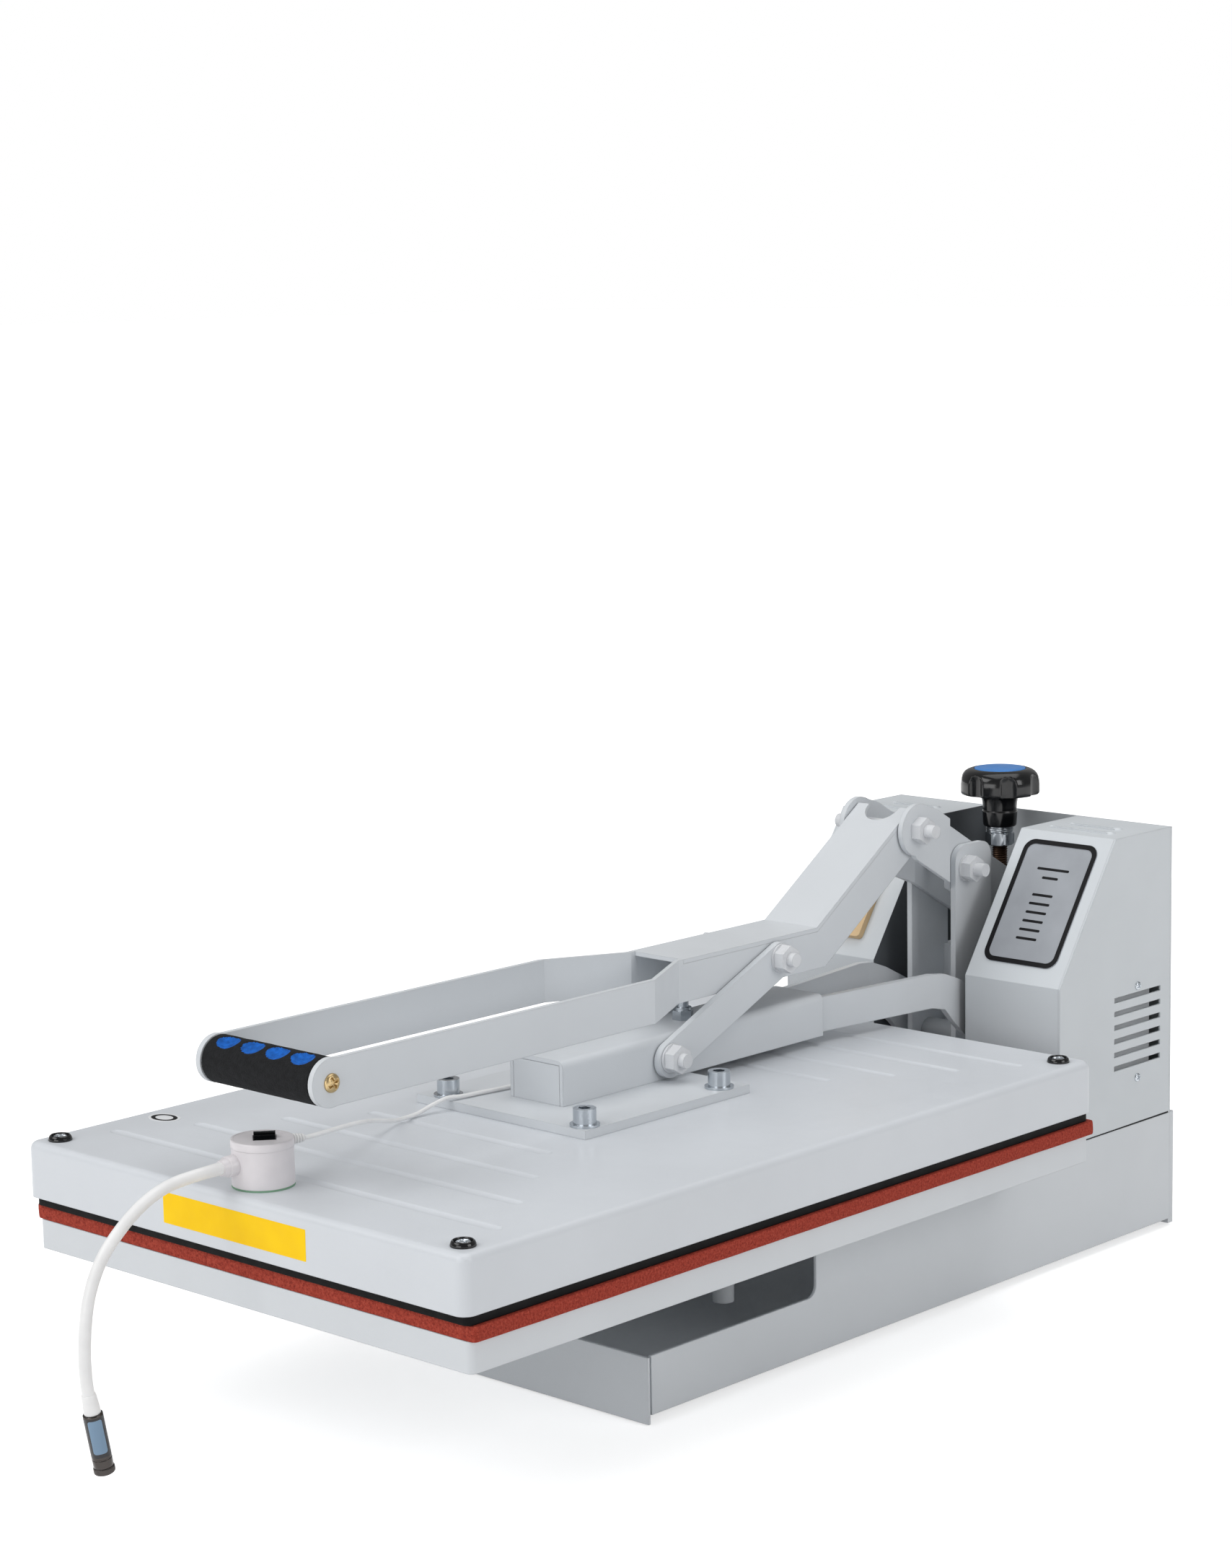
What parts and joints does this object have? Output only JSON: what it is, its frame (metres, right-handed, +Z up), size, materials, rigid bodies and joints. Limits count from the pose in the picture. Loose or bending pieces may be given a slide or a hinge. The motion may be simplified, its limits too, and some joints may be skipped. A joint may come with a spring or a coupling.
{
  "type": "clamshell dry mounting press",
  "caption": "Clamshell mounting press: a toggle handle lowers a heated platen onto a sponge pad; a knob at the back sets the pressure.",
  "frame": {"origin": "centre of the base's footprint on the table", "axes": "+X to the operator's right, +Y from the grip towards the control boxes, +Z up"},
  "size_m": [0.4, 0.924, 0.343],
  "materials": {
    "paint_white": "semi-gloss powder coat",
    "paint_inner": "powder coat",
    "galvanised": "zinc plated",
    "steel_dark": "oiled steel",
    "pad_red": "matte closed-cell silicone sponge",
    "plate_black": "coated, matte",
    "rubber_black": "matte",
    "foam_black": "matte foam",
    "plastic_black": "glossy moulded",
    "plastic_blue": "semi-gloss moulded",
    "foam_blue": "matte soft inset",
    "plastic_white": "semi-gloss moulded",
    "plastic_tan": "matte moulded",
    "hose_white": "satin soft sleeve",
    "plate_grey": "printed satin plate",
    "display_glass": "glossy window",
    "button_grey": "matte",
    "brass": "satin",
    "chrome": "polished",
    "insulation": "woven blanket",
    "magnet_green": "matte"
  },
  "bodies": {
    "frame": {"base_trough": "paint_white", "front_plate": "paint_white", "rear_plate": "paint_white", "rubber_feet": "rubber_black", "platen_rails": "paint_inner", "lower_platen": "paint_white", "silicone_pad": "pad_red", "control_box_shells": "paint_white", "side_panels": "paint_white", "rear_cover": "paint_white", "box_screws": "galvanised", "conversion_plate": "plate_grey", "controller_bezel": "plastic_tan", "controller_display": "display_glass", "power_inlet": "plastic_black", "uprights": "paint_white", "spacer_tube": "paint_inner", "pivot_shaft": "galvanised", "rocker_bolt": "galvanised"},
    "arm": {"arm_channel": "paint_white", "arm_end_plate": "paint_white", "arm_straps": "paint_white", "mounting_plate": "paint_white", "cap_screws": "galvanised", "upper_cover": "paint_white", "cover_screws": "galvanised", "cover_cups": "plastic_black", "heater_plate": "plate_black", "heating_element": "steel_dark", "insulation_blanket": "insulation", "link_lower_bolt": "galvanised", "stop_bolt": "galvanised", "laser_housing": "plastic_white", "laser_magnet": "magnet_green", "gooseneck_collar": "plastic_white", "gooseneck": "hose_white", "laser_sleeve": "hose_white", "laser_module": "chrome", "strain_relief": "plastic_white", "laser_cord": "hose_white"},
    "links": {"links": "paint_white", "link_upper_bolts": "galvanised"},
    "rocker": {"rocker_cheeks": "paint_white", "rocker_trunnion": "paint_inner", "handle_pivot_bolt": "galvanised"},
    "handle": {"handle_sides": "paint_white", "handle_top": "paint_white", "foam_grip": "foam_black", "grip_inserts": "foam_blue", "grip_bolt": "brass"},
    "pressure_screw": {"pressure_screw": "steel_dark"},
    "knob": {"pressure_knob": "plastic_black", "knob_cap": "plastic_blue"},
    "laser_switch": {"laser_switch": "plastic_black"},
    "laser_cap": {"laser_cap": "chrome"},
    "power_switch": {"power_switch": "plastic_black"},
    "button_1": {"button_1": "button_grey"},
    "button_2": {"button_2": "button_grey"},
    "button_3": {"button_3": "button_grey"},
    "button_4": {"button_4": "button_grey"}
  },
  "joints": [
    {"name": "arm_hinge", "type": "hinge", "parent": "frame", "child": "arm", "pos_m": [0, 0.185, 0.1485], "axis": [-1, 0, 0], "range_deg": [0, 38]},
    {"name": "rocker_tilt", "type": "hinge", "parent": "frame", "child": "rocker", "pos_m": [0, 0.1785, 0.278], "axis": [1, 0, 0], "range_deg": [-1.2, 1.2]},
    {"name": "handle_hinge", "type": "hinge", "parent": "rocker", "child": "handle", "pos_m": [0, 0.1132, 0.3155], "axis": [-1, 0, 0], "range_deg": [0, 90.39]},
    {"name": "link_hinge", "type": "hinge", "parent": "arm", "child": "links", "pos_m": [0, -0.1558, 0.1973], "axis": [-1, 0, 0], "range_deg": [-52.27, 0]},
    {"name": "screw_travel", "type": "slide", "parent": "rocker", "child": "pressure_screw", "axis": [0, 0, -1], "range_m": [-0.0015, 0.0015]},
    {"name": "knob_turn", "type": "hinge", "parent": "pressure_screw", "child": "knob", "pos_m": [0, 0.2495, 0.3], "axis": [0, 0, -1], "range_deg": [-320, 320]},
    {"name": "laser_switch_rock", "type": "hinge", "parent": "arm", "child": "laser_switch", "pos_m": [-0.001, -0.487, 0.2032], "axis": [0.6428, 0.766, 0], "range_deg": [-16, 0]},
    {"name": "laser_focus", "type": "hinge", "parent": "arm", "child": "laser_cap", "pos_m": [-0.007, -0.61327, 0.03284], "axis": [0, 0.1908, -0.9816], "range_deg": [-180, 180]},
    {"name": "power_switch_rock", "type": "hinge", "parent": "frame", "child": "power_switch", "pos_m": [-0.08485, 0.2891, 0.145], "axis": [1, 0, 0], "range_deg": [0, 16]},
    {"name": "button_1_press", "type": "slide", "parent": "frame", "child": "button_1", "axis": [0, 0.8229, -0.5682], "range_m": [0, 0.0009], "stiffness_N_per_m": 500, "springref_m": -0.0004},
    {"name": "button_2_press", "type": "slide", "parent": "frame", "child": "button_2", "axis": [0, 0.8229, -0.5682], "range_m": [0, 0.0009], "stiffness_N_per_m": 500, "springref_m": -0.0004},
    {"name": "button_3_press", "type": "slide", "parent": "frame", "child": "button_3", "axis": [0, 0.8229, -0.5682], "range_m": [0, 0.0009], "stiffness_N_per_m": 500, "springref_m": -0.0004},
    {"name": "button_4_press", "type": "slide", "parent": "frame", "child": "button_4", "axis": [0, 0.8229, -0.5682], "range_m": [0, 0.0009], "stiffness_N_per_m": 500, "springref_m": -0.0004}
  ],
  "couplings": [
    {"joint": "handle_hinge", "follows": "arm_hinge", "ratio": 2.3734},
    {"joint": "link_hinge", "follows": "arm_hinge", "ratio": -1.3702},
    {"joint": "screw_travel", "follows": "rocker_tilt", "m_per_rad": 0.071},
    {"joint": "knob_turn", "follows": "rocker_tilt", "ratio": 254.92}
  ]
}
